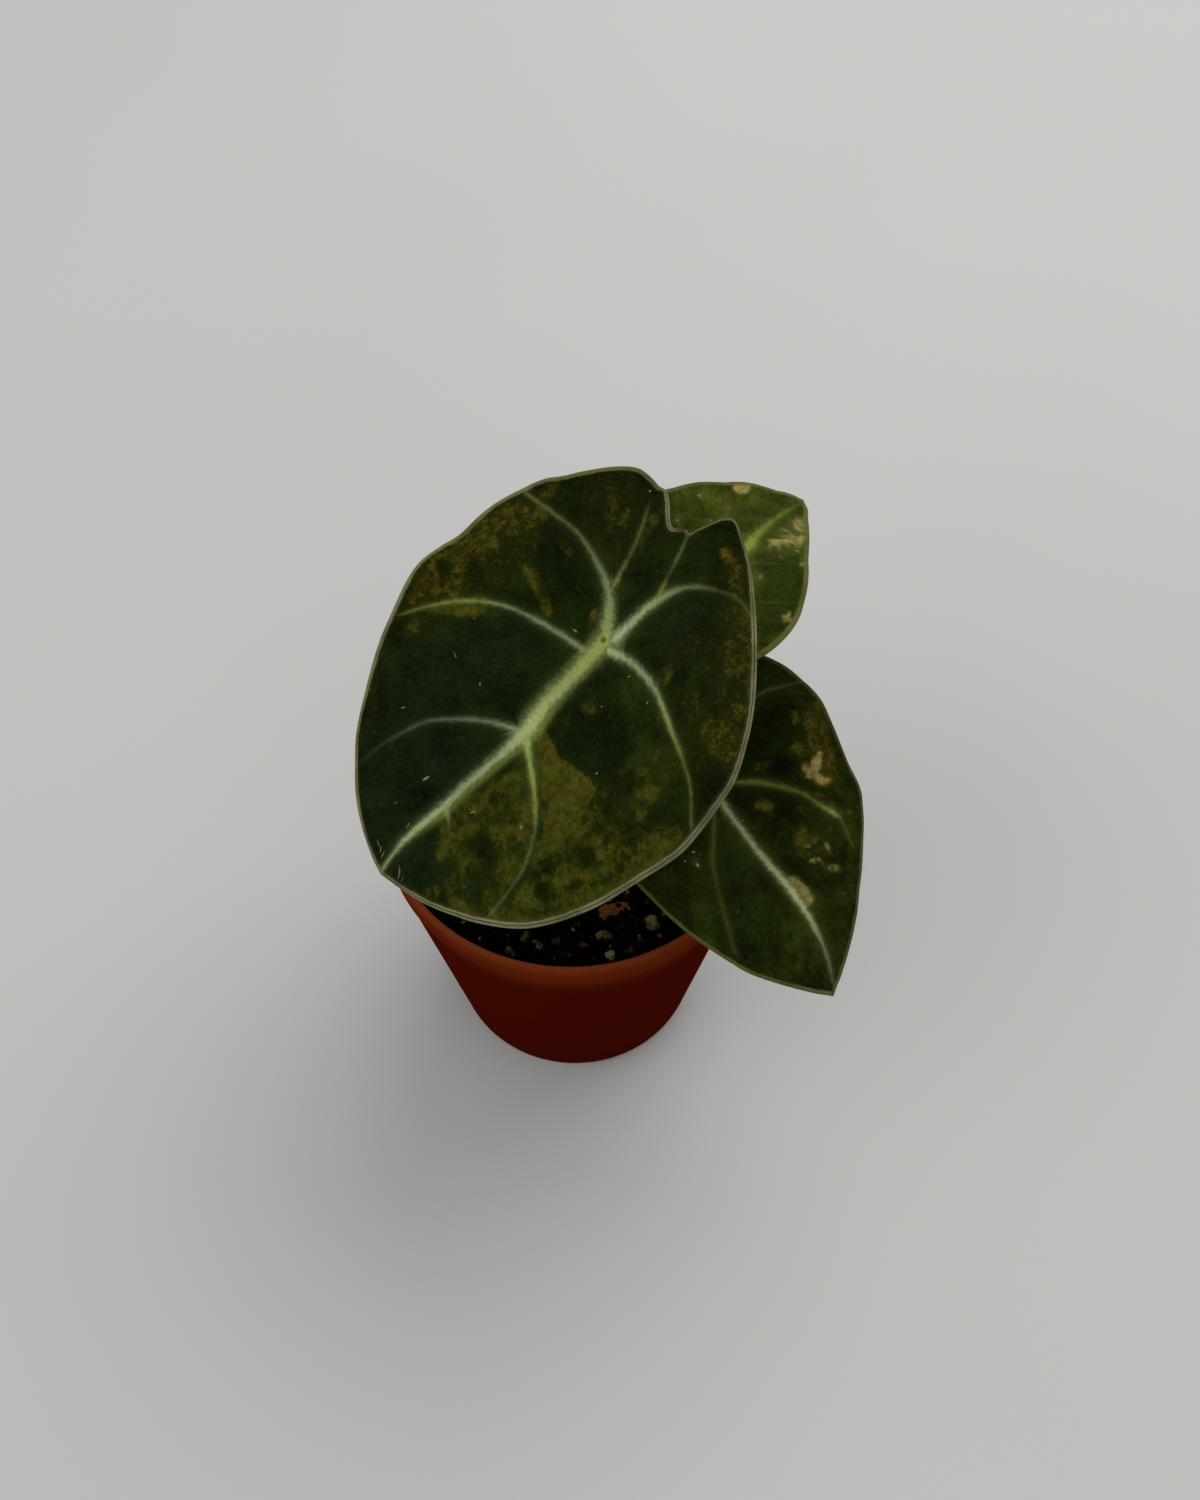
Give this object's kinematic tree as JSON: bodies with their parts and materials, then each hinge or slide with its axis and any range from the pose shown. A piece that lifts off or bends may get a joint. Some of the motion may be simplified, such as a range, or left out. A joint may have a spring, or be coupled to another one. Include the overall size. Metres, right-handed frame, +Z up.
{
  "type": "alocasia black velvet",
  "caption": "Small potted aroid with broad, dark velvety leaves and pale veins on short stalks, standing in a tapered plastic nursery pot.",
  "frame": {"origin": "centre of the pot's flat underside", "axes": "+Z up; the front leaf hangs over the rim towards -X -Y, the right leaf towards +X -Y and the back leaf towards +X +Y"},
  "size_m": [0.0664, 0.0656, 0.0973],
  "materials": {
    "pot": "satin terracotta-coloured plastic",
    "soil": "moist dark potting mix",
    "pumice": "rough pale grains",
    "bark": "rough bark crumbs",
    "crown": "matte plant tissue",
    "petiole": "smooth plant tissue",
    "blade": "velvety, nearly black green with pale veins"
  },
  "bodies": {
    "root": {"pot": "pot", "soil": "soil", "crown": "crown", "petiole_front": "petiole", "leaf_front": "blade", "petiole_right": "petiole", "leaf_right": "blade", "petiole_back": "petiole", "leaf_back": "blade", "pumice_01": "pumice", "pumice_02": "pumice", "pumice_03": "pumice", "pumice_04": "pumice", "pumice_05": "pumice", "pumice_06": "pumice", "pumice_07": "pumice", "pumice_08": "pumice", "pumice_09": "pumice", "pumice_10": "pumice", "pumice_11": "pumice", "pumice_12": "pumice", "pumice_13": "pumice", "pumice_14": "pumice", "pumice_15": "pumice", "bark_01": "bark", "bark_02": "bark", "bark_03": "bark", "bark_04": "bark", "bark_05": "bark", "bark_06": "bark"}
  },
  "joints": []
}
